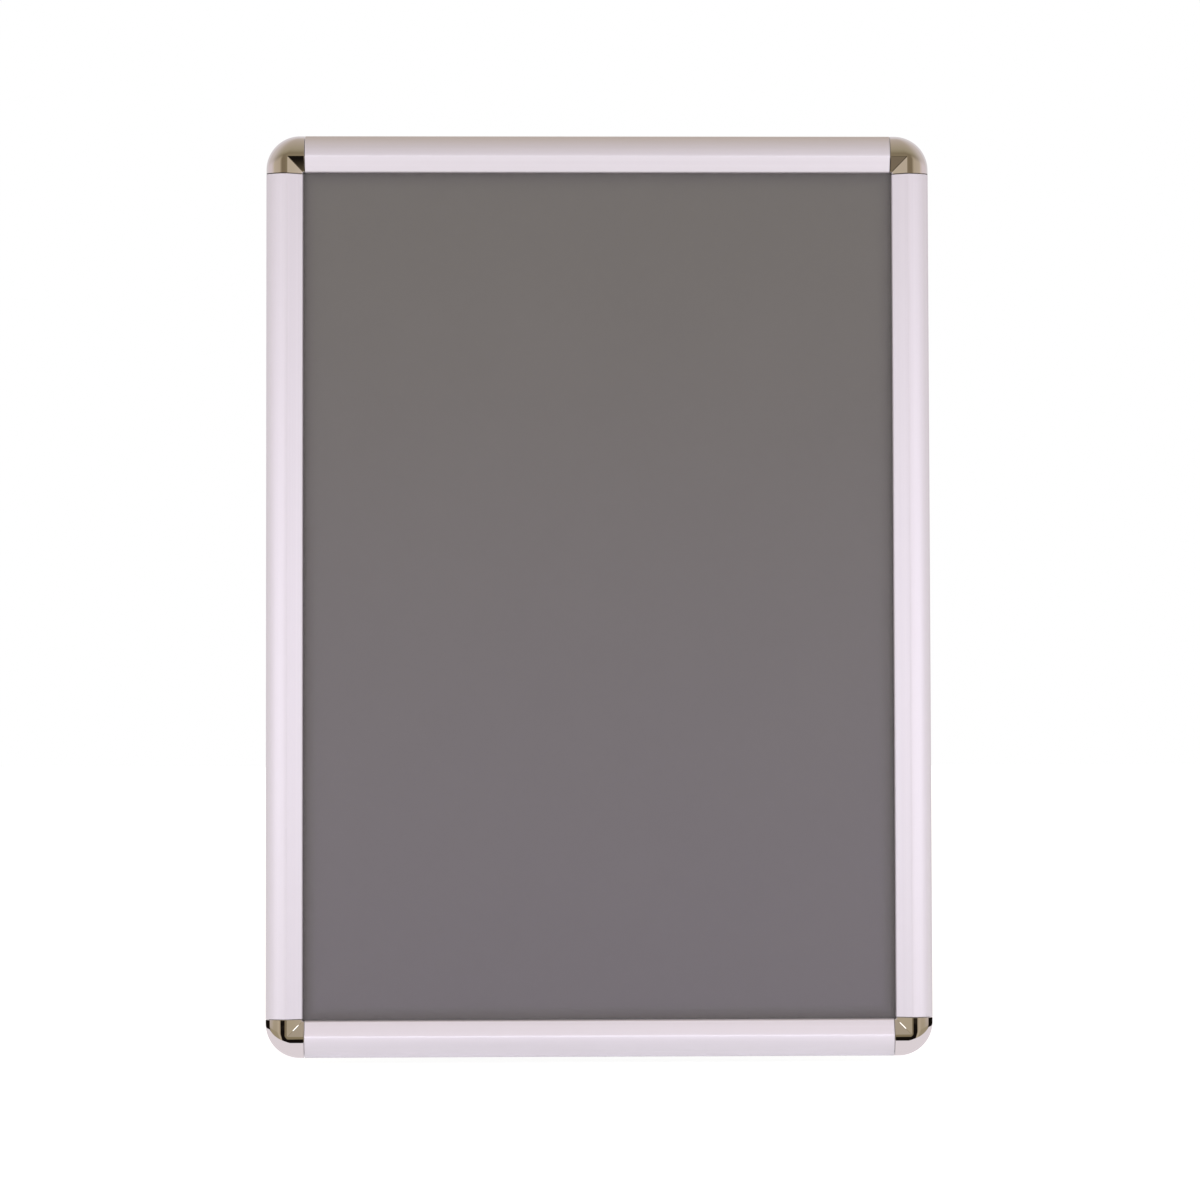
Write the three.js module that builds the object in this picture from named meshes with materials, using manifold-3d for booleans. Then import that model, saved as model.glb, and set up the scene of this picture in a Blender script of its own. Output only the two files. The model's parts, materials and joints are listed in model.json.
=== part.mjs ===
// A snap frame for an A2 poster, hung flat on a wall.
// Four aluminium base rails are joined by corner keys and hold a grey back panel.
// Four front rails hinge open about a bead near their outer edge, and bowed leaf springs
// snap them open or shut. Chromed caps close the corners, and a clear sheet covers the poster.
// Millimetres, +Z up. The front faces -Y and the wall is the plane Y = 0.
// The origin is the middle of the top base rail's back face.
import * as THREE from "three";
import { mergeVertices } from "three/addons/utils/BufferGeometryUtils.js";
import Module from "manifold-3d";

const wasm = await Module();
wasm.setup();

// The whole frame. Sections are drawn in u, the distance inwards from the frame's outer edge,
// and w, the height in front of the wall.
const POSTER_WIDTH = 420;
const POSTER_HEIGHT = 594;
const POSTER_COVERED = 10;
const RAIL_WIDTH = 25;
const FRAME_DEPTH = 12;
const FIT = 0.3;

// The stack between the wall and the front rail's lip
const FLANGE_WALL = 1.1;
const PANEL_THICKNESS = 1;
const LEDGE_WALL = 0.9;
const LEDGE_SETBACK = 0.5;
const SHEET_THICKNESS = 0.5;

// The front rail: straight skirt, arched outer half, sloping facet and rounded nose
const SKIRT_FOOT_W = 2.2;
const SHOULDER_W = 5;
const CREST_U = 14.5;
const RAIL_WALL = 1.3;
const NOSE_RADIUS = 3.6;
const LIP_STRAIGHT = 0.3;

// The hinge: a bead on the front rail turns in an open socket on the base rail
const PIVOT_U = 3.1;
const PIVOT_W = 4.3;
const BEAD_RADIUS = 1;
const STEM_WALL = 0.8;
const STEM_ANGLE = 190;
const SOCKET_WALL = 0.7;
const SOCKET_FROM = -45;
const SOCKET_TO = 150;
const SOCKET_LIP_SWEEP = 25;
const SOCKET_NECK_ANGLE = 85;

// The base rail: riser beside the hinge, screw channel, and rib at the panel's slot
const SWING_CLEARANCE = 0.5;
const RISER_WALL = 1.2;
const RISER_TOP_W = 5;
const CHANNEL_WIDTH = 6.2;
const CHANNEL_HEIGHT = 2.3;
const CHANNEL_LIP = 1;
const CHANNEL_LIP_WALL = 0.9;
const RIB_WALL = 1.2;
const WALL_HOLE_RADIUS = 2;
const ACCESS_HOLE_RADIUS = 3.4;
const WALL_HOLE_FROM_END = 85;

// The leaf springs and the two seats that hold their long edges. The base rail's seat is
// a groove between two angles, with a tooth that goes on to the third. The rib's seat has
// a lip at its open end.
const BASE_SEAT_FROM = 285;
const BASE_SEAT_TO = 140;
const TOOTH_TO = 180;
const SEAT_ANGLE = 55;
const SEAT_REACH = 2.8;
const BASE_SEAT_RADIUS = 0.6;
const TOOTH_WALL = 0.6;
const RIB_SEAT_U = 12.6;
const RIB_SEAT_W = 7.4;
const RIB_SEAT_RADIUS = 0.7;
const RIB_SEAT_FROM = 130;
const RIB_SEAT_TO = -60;
const RIB_LIP_ANGLE = -45;
const SPRING_RIB_WALL = 0.8;
const SPRING_THICKNESS = 0.4;
const SPRING_RISE = 1;
const SPRING_LENGTH = 45;
const SPRING_FROM_END = 137.5;
const SHORT_RAIL_SPRINGS = 2;
const LONG_RAIL_SPRINGS = 3;

// The corners
const CORNER_OVERRUN = 1;
const CORNER_STRAIGHT = 3;
const CREASE_RADIUS = 0.5;
const CAP_WALL = 1.4;
const CAP_FOOT_W = 0.4;
const BOSS_RADIUS = 2.4;
const CAP_SCREW_RADIUS = 1.5;
const CAP_SCREW_HEAD_RADIUS = 2.8;
const CAP_SCREW_HEAD_HEIGHT = 1.3;
const CAP_SCREW_LENGTH = 8.5;
const KEY_LEG_LENGTH = 55;
const SET_SCREW_RADIUS = 1.3;
const SET_SCREW_LENGTH = 2.6;
const SET_SCREW_FROM_END = 35;

// How finely the round stretches are divided
const ARC_STEPS = 8;
const SHORT_ARC_STEPS = 3;
const ARCH_STEPS = 14;
const NOSE_STEPS = 6;
const CORNER_STEPS = 8;
const ROUND_SIDES = 16;

// Points closer than this are one point, and holes are cut this far past a face
const SAME_POINT = 1e-4;
const CUT_PAST = 1;

// Outline of the frame, and heights of the stack
const FRAME_WIDTH = POSTER_WIDTH + 2 * (RAIL_WIDTH - POSTER_COVERED);
const FRAME_HEIGHT = POSTER_HEIGHT + 2 * (RAIL_WIDTH - POSTER_COVERED);
const PANEL_BACK_W = FLANGE_WALL + FIT;
const SLOT_TOP_W = PANEL_BACK_W + PANEL_THICKNESS + FIT;
const LEDGE_TOP_W = SLOT_TOP_W + LEDGE_WALL;
const SHEET_BACK_W = LEDGE_TOP_W + FIT;
const LIP_FOOT_W = SHEET_BACK_W + SHEET_THICKNESS + FIT;

// Places across the base rail. The riser stands clear of the skirt's foot when it has swung
// a quarter turn about the pivot.
const RISER_U = PIVOT_U + PIVOT_W - SKIRT_FOOT_W + SWING_CLEARANCE;
const CHANNEL_OUTER_U = RISER_U + RISER_WALL;
const CHANNEL_INNER_U = CHANNEL_OUTER_U + CHANNEL_WIDTH;
const CHANNEL_MIDDLE_U = (CHANNEL_OUTER_U + CHANNEL_INNER_U) / 2;
const CHANNEL_LIP_W = FLANGE_WALL + CHANNEL_HEIGHT;
const CHANNEL_TOP_W = CHANNEL_LIP_W + CHANNEL_LIP_WALL;
const SLOT_END_U = CHANNEL_INNER_U + RIB_WALL;
const LEDGE_END_U = RAIL_WIDTH - LEDGE_SETBACK;
const SHEET_EDGE_U = SLOT_END_U + FIT;

// Corner squares, and where the frame stands about its origin
const CORNER_LENGTH = RAIL_WIDTH + CORNER_OVERRUN;
const CORNER_RADIUS = CORNER_LENGTH - CORNER_STRAIGHT;
const SHORT_RAIL_LENGTH = FRAME_WIDTH - 2 * CORNER_LENGTH;
const LONG_RAIL_LENGTH = FRAME_HEIGHT - 2 * CORNER_LENGTH;
const TOP_Z = (RISER_U + LEDGE_END_U) / 2;
const BOTTOM_Z = TOP_Z - FRAME_HEIGHT;
const MIDDLE_Z = (TOP_Z + BOTTOM_Z) / 2;

// Finishes
const SATIN_ALUMINIUM = { color: 0xd9d4dc, roughness: 0.38, metalness: 0.9 };
const MILL_ALUMINIUM = { color: 0xb9babd, roughness: 0.45, metalness: 0.9 };
const CHROME = { color: 0xcfcdca, roughness: 0.08, metalness: 1 };
const ZINC = { color: 0x9a9b9d, roughness: 0.5, metalness: 0.8 };
const SPRING_STEEL = { color: 0x6f7276, roughness: 0.35, metalness: 1 };
const SCREW_STEEL = { color: 0xa9abae, roughness: 0.3, metalness: 1 };
const GREY_PLASTIC = { color: 0x767173, roughness: 0.7, metalness: 0 };
const CLEAR_PLASTIC = {
  color: 0xf4f6f6,
  roughness: 0.35,
  metalness: 0,
  transparent: true,
  opacity: 0.2,
};

const group = (...members) => new THREE.Group().add(...members);
const point = (u, w) => new THREE.Vector2(u, w);

// The point at a distance and an angle in degrees from a centre
function polar(centre, radius, degrees) {
  const angle = THREE.MathUtils.degToRad(degrees);
  return point(centre.x + radius * Math.cos(angle), centre.y + radius * Math.sin(angle));
}

function arc(centre, radius, from, to, steps = ARC_STEPS) {
  return Array.from({ length: steps + 1 }, (_, i) =>
    polar(centre, radius, from + ((to - from) * i) / steps),
  );
}

function circle(centre, radius, sides) {
  return arc(centre, radius, 0, 360, sides).slice(1);
}

// A closed geometry as a solid for joins and cuts, and back again
function toSolid(geometry) {
  const bare = geometry.clone();
  bare.deleteAttribute("normal");
  bare.deleteAttribute("uv");
  const merged = mergeVertices(bare, SAME_POINT);
  return new wasm.Manifold(
    new wasm.Mesh({
      numProp: 3,
      vertProperties: merged.attributes.position.array,
      triVerts: new Uint32Array(merged.index.array),
    }),
  );
}

function toGeometry(solid) {
  const { vertProperties, triVerts } = solid.getMesh();
  const geometry = new THREE.BufferGeometry();
  geometry.setAttribute("position", new THREE.BufferAttribute(vertProperties, 3));
  geometry.setIndex(new THREE.BufferAttribute(triVerts, 1));
  geometry.computeVertexNormals();
  return geometry;
}

function mesh(name, shape, finish) {
  const geometry = shape.isBufferGeometry ? shape : toGeometry(shape);
  const made = new THREE.Mesh(geometry, new THREE.MeshStandardMaterial(finish));
  made.name = name;
  return made;
}

// A section drawn in u and w, drawn out along a rail. In a rail's own frame X runs along it,
// Z is u and -Y is w, with X = 0 at the rail's middle.
function drawOut(outline, length, middle = 0) {
  const geometry = new THREE.ExtrudeGeometry(new THREE.Shape(outline), {
    depth: length,
    bevelEnabled: false,
  });
  const axes = new THREE.Matrix4().makeBasis(
    new THREE.Vector3(0, 0, 1),
    new THREE.Vector3(0, -1, 0),
    new THREE.Vector3(1, 0, 0),
  );
  return geometry.translate(0, 0, middle - length / 2).applyMatrix4(axes);
}

// A turned piece or hole that stands square to the wall, from a profile of radius and w
// that starts and ends on its axis
function turned(profile, along, u) {
  const outline = profile.map(([radius, w]) => point(radius, w));
  const lathe = new THREE.LatheGeometry(outline, ROUND_SIDES);
  return lathe.rotateX(Math.PI).translate(along, 0, u);
}

function pin(radius, fromW, toW, along, u) {
  return turned([[0, fromW], [radius, fromW], [radius, toW], [0, toW]], along, u);
}

// A bar square to the axes, from its ends along the rail, across it and above the wall
function bar(alongFrom, alongTo, uFrom, uTo, wFrom, wTo) {
  return new THREE.BoxGeometry(alongTo - alongFrom, wTo - wFrom, uTo - uFrom).translate(
    (alongFrom + alongTo) / 2,
    -(wFrom + wTo) / 2,
    (uFrom + uTo) / 2,
  );
}

const PIVOT = point(PIVOT_U, PIVOT_W);
const BASE_SEAT = polar(PIVOT, SEAT_REACH, SEAT_ANGLE);
const RIB_SEAT = point(RIB_SEAT_U, RIB_SEAT_W);

// The face that front rails and caps share, from the skirt's foot over the crest to the lip.
// The facet is the straight line from the crest that touches the nose's arc.
function faceLine(inset, footW, archSteps = ARCH_STEPS, noseSteps = NOSE_STEPS) {
  const crest = point(CREST_U, FRAME_DEPTH - inset);
  const arch = Array.from({ length: archSteps + 1 }, (_, i) => {
    const angle = (Math.PI / 2) * (i / archSteps);
    return point(
      crest.x - (CREST_U - inset) * Math.cos(angle),
      SHOULDER_W + (crest.y - SHOULDER_W) * Math.sin(angle),
    );
  });
  const nose = point(RAIL_WIDTH - NOSE_RADIUS, LIP_FOOT_W + LIP_STRAIGHT);
  const radius = NOSE_RADIUS - inset;
  const fall = Math.atan2(crest.y - nose.y, nose.x - crest.x);
  const facetAngle = fall - Math.asin(radius / crest.distanceTo(nose));
  const noseFrom = 90 - THREE.MathUtils.radToDeg(facetAngle);
  const noseArc = arc(nose, radius, noseFrom, 0, noseSteps);
  return [point(inset, footW), ...arch, ...noseArc, point(RAIL_WIDTH - inset, LIP_FOOT_W)];
}

// The face line gets its thickness by going back along itself, one wall further in. The
// hidden inside is divided more coarsely.
function faceSection(wall, footW) {
  const inside = faceLine(wall, footW, ARC_STEPS, ARC_STEPS / 2);
  return [...inside, ...faceLine(0, footW).reverse()];
}

function frontRail(name, length) {
  const skin = toSolid(drawOut(faceSection(RAIL_WALL, SKIRT_FOOT_W), length));
  const bead = toSolid(drawOut(circle(PIVOT, BEAD_RADIUS, 3 * ARC_STEPS), length));
  const stem = toSolid(drawOut(stemSection(), length));
  const rib = toSolid(drawOut(springRibSection(), length));
  return mesh(name, skin.add(bead).add(stem).add(rib), SATIN_ALUMINIUM);
}

// The stem reaches from the bead into the middle of the skirt's wall
function stemSection() {
  const skirt = polar(PIVOT, PIVOT_U - RAIL_WALL / 2, STEM_ANGLE);
  const side = polar(point(0, 0), STEM_WALL / 2, STEM_ANGLE + 90);
  return [
    PIVOT.clone().sub(side),
    PIVOT.clone().add(side),
    skirt.clone().add(side),
    skirt.clone().sub(side),
  ];
}

// The rib hangs from the arch and holds the springs' upper edge in its seat
function springRibSection() {
  const seat = arc(RIB_SEAT, RIB_SEAT_RADIUS, RIB_SEAT_FROM, RIB_SEAT_TO);
  const backU = RIB_SEAT_U + RIB_SEAT_RADIUS + SPRING_RIB_WALL;
  const rootW = FRAME_DEPTH - RAIL_WALL / 2;
  const toe = polar(RIB_SEAT, RIB_SEAT_RADIUS + SPRING_RIB_WALL / 2, RIB_LIP_ANGLE);
  return [
    point(backU, rootW),
    point(seat[0].x, rootW),
    ...seat,
    toe,
    point(backU, toe.y),
  ];
}

// The base rail in one outline, anticlockwise from the riser's foot
function baseSection() {
  const outer = BEAD_RADIUS + FIT + SOCKET_WALL;
  const skinSide = THREE.MathUtils.radToDeg(Math.acos((RAIL_WALL + FIT - PIVOT_U) / outer));
  return [
    point(RISER_U, 0),
    point(LEDGE_END_U, 0),
    point(LEDGE_END_U, FLANGE_WALL),
    point(SLOT_END_U, FLANGE_WALL),
    point(SLOT_END_U, SLOT_TOP_W),
    point(LEDGE_END_U, SLOT_TOP_W),
    point(LEDGE_END_U, LEDGE_TOP_W),
    point(SLOT_END_U, LEDGE_TOP_W),
    point(SLOT_END_U, CHANNEL_TOP_W),
    point(CHANNEL_INNER_U - CHANNEL_LIP, CHANNEL_TOP_W),
    point(CHANNEL_INNER_U - CHANNEL_LIP, CHANNEL_LIP_W),
    point(CHANNEL_INNER_U, CHANNEL_LIP_W),
    point(CHANNEL_INNER_U, FLANGE_WALL),
    point(CHANNEL_OUTER_U, FLANGE_WALL),
    point(CHANNEL_OUTER_U, CHANNEL_LIP_W),
    point(CHANNEL_OUTER_U + CHANNEL_LIP, CHANNEL_LIP_W),
    point(CHANNEL_OUTER_U + CHANNEL_LIP, CHANNEL_TOP_W),
    point(CHANNEL_OUTER_U, CHANNEL_TOP_W),
    point(CHANNEL_OUTER_U, RISER_TOP_W),
    ...arc(BASE_SEAT, BASE_SEAT_RADIUS, BASE_SEAT_FROM, BASE_SEAT_TO),
    ...arc(BASE_SEAT, BASE_SEAT_RADIUS + TOOTH_WALL, BASE_SEAT_TO, TOOTH_TO, SHORT_ARC_STEPS),
    ...arc(PIVOT, outer, SOCKET_NECK_ANGLE, skinSide, SHORT_ARC_STEPS),
    ...arc(PIVOT, BEAD_RADIUS + FIT, SOCKET_TO, SOCKET_FROM, 2 * ARC_STEPS),
    ...arc(PIVOT, outer, SOCKET_FROM, SOCKET_FROM + SOCKET_LIP_SWEEP, SHORT_ARC_STEPS),
    point(RISER_U, PIVOT_W - BEAD_RADIUS - FIT),
  ];
}

// A base rail has a small hole for each wall screw, with a wider one above it for the head
function baseRail(name, length) {
  const holeAlong = length / 2 - WALL_HOLE_FROM_END;
  let rail = toSolid(drawOut(baseSection(), length));
  for (const along of [-holeAlong, holeAlong]) {
    const hole = pin(WALL_HOLE_RADIUS, -CUT_PAST, FRAME_DEPTH, along, CHANNEL_MIDDLE_U);
    const access = pin(ACCESS_HOLE_RADIUS, FLANGE_WALL, FRAME_DEPTH, along, CHANNEL_MIDDLE_U);
    rail = rail.subtract(toSolid(hole)).subtract(toSolid(access));
  }
  return mesh(name, rail, MILL_ALUMINIUM);
}

// A leaf spring is a bowed strip between the two seats. It is as wide as fits between them
// when both seats and the pivot are in line.
function springSection() {
  const deadCentre = RIB_SEAT.distanceTo(PIVOT) - SEAT_REACH;
  const width = deadCentre + RIB_SEAT_RADIUS - SPRING_THICKNESS / 2 - FIT;
  const towards = THREE.MathUtils.radToDeg(RIB_SEAT.clone().sub(BASE_SEAT).angle());
  const radius = (width ** 2 / 4 + SPRING_RISE ** 2) / (2 * SPRING_RISE);
  const middle = polar(BASE_SEAT, width / 2, towards);
  const centre = polar(middle, radius - SPRING_RISE, towards + 90);
  const half = THREE.MathUtils.radToDeg(Math.asin(width / 2 / radius));
  const from = towards - 90 - half;
  const to = towards - 90 + half;
  const edge = SPRING_THICKNESS / 2;
  const roundEnd = (at, start) =>
    arc(polar(centre, radius, at), edge, start, start + 180, SHORT_ARC_STEPS).slice(1, -1);
  return [
    ...arc(centre, radius + edge, from, to),
    ...roundEnd(to, to),
    ...arc(centre, radius - edge, to, from),
    ...roundEnd(from, from + 180),
  ];
}

function leafSprings(side, length, count) {
  const reach = length / 2 - SPRING_FROM_END;
  return Array.from({ length: count }, (_, i) => {
    const along = -reach + (2 * reach * i) / (count - 1);
    const strip = drawOut(springSection(), SPRING_LENGTH, along);
    return mesh(`leaf_spring_${side}_${i + 1}`, strip, SPRING_STEEL);
  });
}

// Round a corner, what lies at u follows the outer edge with this radius. It shrinks to a
// crease at the crest, so the arch is swept round and the facet is mitred.
function cornerRadiusAt(u) {
  return Math.max(CREASE_RADIUS, CORNER_RADIUS * (1 - u / CREST_U));
}

// Where the line at u crosses the corner's diagonal, measured from either outer edge
function diagonalAt(u) {
  return u + (1 - Math.SQRT1_2) * cornerRadiusAt(u);
}

// An anticlockwise section swept round the corner. In a corner's own frame X and Z run
// inwards from the two outer edges and -Y is w, with the origin at the outer corner.
function sweepCorner(section, length) {
  const stations = section.map(({ x: u, y: w }) => {
    const radius = cornerRadiusAt(u);
    const centre = point(u + radius, u + radius);
    const plan = [point(length, u), ...arc(centre, radius, -90, -180, CORNER_STEPS)];
    return [...plan, point(u, length)].map((p) => new THREE.Vector3(p.x, -w, p.y));
  });
  const rows = stations.length;
  const columns = stations[0].length;
  const corner = (i, j) => (i % rows) * columns + j;
  const faces = [];
  for (let i = 0; i < rows; i++) {
    for (let j = 0; j + 1 < columns; j++) {
      faces.push(corner(i, j), corner(i, j + 1), corner(i + 1, j + 1));
      faces.push(corner(i, j), corner(i + 1, j + 1), corner(i + 1, j));
    }
  }
  for (const [a, b, c] of THREE.ShapeUtils.triangulateShape(section, [])) {
    faces.push(corner(a, 0), corner(b, 0), corner(c, 0));
    faces.push(corner(c, columns - 1), corner(b, columns - 1), corner(a, columns - 1));
  }
  const geometry = new THREE.BufferGeometry().setFromPoints(stations.flat());
  return geometry.setIndex(faces);
}

// The cap's screw boss stands over the middle of the key's raised part
const KEY_OUTER_U = CAP_WALL + FIT;
const KEY_RAISED_U = CHANNEL_OUTER_U + FIT;
const BOSS_AT = (diagonalAt(KEY_RAISED_U) + diagonalAt(SLOT_END_U)) / 2;

// A chromed cap is a shell open to the wall, with one boss inside
function cornerCap(name) {
  const shell = toSolid(sweepCorner(faceSection(CAP_WALL, CAP_FOOT_W), CORNER_LENGTH));
  const filling = [point(RAIL_WIDTH, CAP_FOOT_W), ...faceLine(0, CAP_FOOT_W).reverse()];
  const filled = toSolid(sweepCorner(filling, CORNER_LENGTH));
  const bossFoot = LEDGE_TOP_W + FIT;
  const boss = toSolid(pin(BOSS_RADIUS, bossFoot, FRAME_DEPTH, BOSS_AT, BOSS_AT));
  const holeTop = CAP_SCREW_LENGTH + 2 * FIT;
  const hole = toSolid(pin(CAP_SCREW_RADIUS + FIT, 0, holeTop, BOSS_AT, BOSS_AT));
  return mesh(name, shell.add(boss.intersect(filled)).subtract(hole), CHROME);
}

// A key carries the base rails' flange, slot and ledge round the corner
function keySection() {
  return [
    point(KEY_OUTER_U, 0),
    point(LEDGE_END_U, 0),
    point(LEDGE_END_U, FLANGE_WALL),
    point(SLOT_END_U, FLANGE_WALL),
    point(SLOT_END_U, SLOT_TOP_W),
    point(LEDGE_END_U, SLOT_TOP_W),
    point(LEDGE_END_U, LEDGE_TOP_W),
    point(KEY_RAISED_U, LEDGE_TOP_W),
    point(KEY_RAISED_U, FLANGE_WALL),
    point(KEY_OUTER_U, FLANGE_WALL),
  ];
}

const CAP_SCREW_PROFILE = [
  [0, FIT],
  [CAP_SCREW_HEAD_RADIUS, FIT],
  [CAP_SCREW_RADIUS, FIT + CAP_SCREW_HEAD_HEIGHT],
  [CAP_SCREW_RADIUS, CAP_SCREW_LENGTH],
  [0, CAP_SCREW_LENGTH],
];

const CAP_SCREW_HOLE = [
  [0, -CUT_PAST],
  [CAP_SCREW_HEAD_RADIUS + FIT, -CUT_PAST],
  [CAP_SCREW_HEAD_RADIUS + FIT, FIT],
  [CAP_SCREW_RADIUS + FIT, FIT + CAP_SCREW_HEAD_HEIGHT],
  [CAP_SCREW_RADIUS + FIT, FRAME_DEPTH],
  [0, FRAME_DEPTH],
];

// Each key leg slides into a rail's channel, where a set screw wedges it
function keyLeg() {
  const legFrom = CORNER_LENGTH - RIB_WALL;
  const legTo = CORNER_LENGTH + KEY_LEG_LENGTH;
  const legTop = CHANNEL_LIP_W - FIT;
  const leg = toSolid(
    bar(legFrom, legTo, KEY_RAISED_U, CHANNEL_INNER_U - FIT, FLANGE_WALL + FIT, legTop),
  );
  const screwAlong = CORNER_LENGTH + SET_SCREW_FROM_END;
  const hole = pin(SET_SCREW_RADIUS + FIT, 0, FRAME_DEPTH, screwAlong, CHANNEL_MIDDLE_U);
  return leg.subtract(toSolid(hole));
}

function cornerKey(name) {
  const body = toSolid(sweepCorner(keySection(), CORNER_LENGTH - FIT));
  const leg = keyLeg();
  const otherLeg = keyLeg().mirror([1, 0, -1]);
  const hole = toSolid(turned(CAP_SCREW_HOLE, BOSS_AT, BOSS_AT));
  return mesh(name, body.add(leg).add(otherLeg).subtract(hole), ZINC);
}

function capScrew(name) {
  return mesh(name, turned(CAP_SCREW_PROFILE, BOSS_AT, BOSS_AT), SCREW_STEEL);
}

function setScrew(name, x, z) {
  const foot = FLANGE_WALL + FIT;
  return mesh(name, pin(SET_SCREW_RADIUS, foot, foot + SET_SCREW_LENGTH, x, z), SCREW_STEEL);
}

// One side of the frame, built in the rail's own frame and turned about Y to its place.
// The front rail is a little shorter, so that it swings between the caps.
function side(name, x, z, turn, length, springs) {
  const made = group(
    baseRail(`base_rail_${name}`, length),
    frontRail(`front_rail_${name}`, length - 2 * FIT),
    ...leafSprings(name, length, springs),
  );
  made.position.set(x, 0, z);
  made.rotation.y = turn;
  return made;
}

function corner(name, x, z, turn) {
  const screwAt = CORNER_LENGTH + SET_SCREW_FROM_END;
  const made = group(
    cornerCap(`corner_cap_${name}`),
    cornerKey(`corner_key_${name}`),
    capScrew(`cap_screw_${name}`),
    setScrew(`set_screw_${name}_1`, screwAt, CHANNEL_MIDDLE_U),
    setScrew(`set_screw_${name}_2`, CHANNEL_MIDDLE_U, screwAt),
  );
  made.position.set(x, 0, z);
  made.rotation.y = turn;
  return made;
}

// The back panel and the clear sheet are plain sheets with the same edges
function flatSheet(name, backW, thickness, finish) {
  const width = FRAME_WIDTH - 2 * SHEET_EDGE_U;
  const height = FRAME_HEIGHT - 2 * SHEET_EDGE_U;
  const sheet = mesh(name, new THREE.BoxGeometry(width, thickness, height), finish);
  sheet.position.set(0, -(backW + thickness / 2), MIDDLE_Z);
  return sheet;
}

const LEFT_X = -FRAME_WIDTH / 2;
const RIGHT_X = FRAME_WIDTH / 2;
const QUARTER = Math.PI / 2;

export default group(
  side("bottom", 0, BOTTOM_Z, 0, SHORT_RAIL_LENGTH, SHORT_RAIL_SPRINGS),
  side("left", LEFT_X, MIDDLE_Z, QUARTER, LONG_RAIL_LENGTH, LONG_RAIL_SPRINGS),
  side("top", 0, TOP_Z, 2 * QUARTER, SHORT_RAIL_LENGTH, SHORT_RAIL_SPRINGS),
  side("right", RIGHT_X, MIDDLE_Z, -QUARTER, LONG_RAIL_LENGTH, LONG_RAIL_SPRINGS),
  corner("bottom_left", LEFT_X, BOTTOM_Z, 0),
  corner("top_left", LEFT_X, TOP_Z, QUARTER),
  corner("top_right", RIGHT_X, TOP_Z, 2 * QUARTER),
  corner("bottom_right", RIGHT_X, BOTTOM_Z, -QUARTER),
  flatSheet("back_panel", PANEL_BACK_W, PANEL_THICKNESS, GREY_PLASTIC),
  flatSheet("clear_cover", SHEET_BACK_W, SHEET_THICKNESS, CLEAR_PLASTIC),
);
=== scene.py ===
# %% [markdown]
# A snap frame for one A2 poster
#
# This lesson dresses a wall-hung poster frame. The frame's four front rails are satin
# aluminium extrusions that swing open, its four corners are chromed caps, and a matt grey
# panel lies behind a thin clear cover. The working model is already there: it says where
# each part sits and how it turns. We load it first and never move it. Everything that we
# make is drawn in the same place and at the same size, in metres.

# %% The working model
import json
import math

import bmesh
import bpy
from mathutils import Matrix, Vector

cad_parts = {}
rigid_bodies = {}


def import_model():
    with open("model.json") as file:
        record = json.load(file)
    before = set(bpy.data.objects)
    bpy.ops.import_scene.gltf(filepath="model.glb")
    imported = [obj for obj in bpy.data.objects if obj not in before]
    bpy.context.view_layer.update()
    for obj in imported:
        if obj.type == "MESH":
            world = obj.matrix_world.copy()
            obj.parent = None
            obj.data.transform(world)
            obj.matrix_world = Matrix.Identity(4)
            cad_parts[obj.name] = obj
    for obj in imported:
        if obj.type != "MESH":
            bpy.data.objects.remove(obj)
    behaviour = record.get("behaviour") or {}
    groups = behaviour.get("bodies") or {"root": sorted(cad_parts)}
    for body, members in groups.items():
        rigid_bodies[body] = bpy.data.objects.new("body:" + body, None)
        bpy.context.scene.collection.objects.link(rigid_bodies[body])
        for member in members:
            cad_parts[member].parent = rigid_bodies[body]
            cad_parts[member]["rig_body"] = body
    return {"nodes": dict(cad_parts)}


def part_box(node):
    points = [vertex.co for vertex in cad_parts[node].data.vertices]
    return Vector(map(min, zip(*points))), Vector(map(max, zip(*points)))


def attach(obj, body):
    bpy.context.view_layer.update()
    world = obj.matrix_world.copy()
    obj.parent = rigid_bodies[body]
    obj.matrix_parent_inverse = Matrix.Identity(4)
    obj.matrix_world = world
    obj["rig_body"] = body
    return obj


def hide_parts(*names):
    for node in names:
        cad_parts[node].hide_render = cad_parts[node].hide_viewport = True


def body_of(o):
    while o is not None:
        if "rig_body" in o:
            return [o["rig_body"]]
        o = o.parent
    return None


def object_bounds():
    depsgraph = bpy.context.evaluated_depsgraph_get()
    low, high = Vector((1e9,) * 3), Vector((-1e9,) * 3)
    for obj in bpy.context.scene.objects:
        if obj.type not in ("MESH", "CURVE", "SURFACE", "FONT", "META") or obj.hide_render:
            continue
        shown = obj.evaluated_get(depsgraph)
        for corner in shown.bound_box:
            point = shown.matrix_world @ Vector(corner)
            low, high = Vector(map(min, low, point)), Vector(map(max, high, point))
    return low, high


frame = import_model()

working_low, working_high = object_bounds()
print("parts:", len(frame["nodes"]), "size:", [round(s, 4) for s in working_high - working_low])

# %% [markdown]
# The camera
#
# The photograph was taken from straight ahead, a little to the left of the middle and a
# little below it, with a long lens. A camera is described best by what a photographer
# would say: how far away it stands, from which side it looks, how it is tilted, and which
# point of the picture the middle of the frame falls on. The place and the turn follow.

# %% The camera
MM = 0.001
PICTURE_SIDE = 1200
SENSOR_WIDTH = 36
LENS = 110.72
CAMERA_DISTANCE = 2.5
CAMERA_AZIMUTH = math.radians(-1.157)
CAMERA_ELEVATION = math.radians(-2.2)
CAMERA_ROLL = math.radians(-0.142)
MIDDLE_IN_PICTURE = (598.7, 594.4)

frame_middle = (working_low + working_high) / 2
metres_per_pixel = SENSOR_WIDTH / PICTURE_SIDE / LENS * CAMERA_DISTANCE

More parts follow.
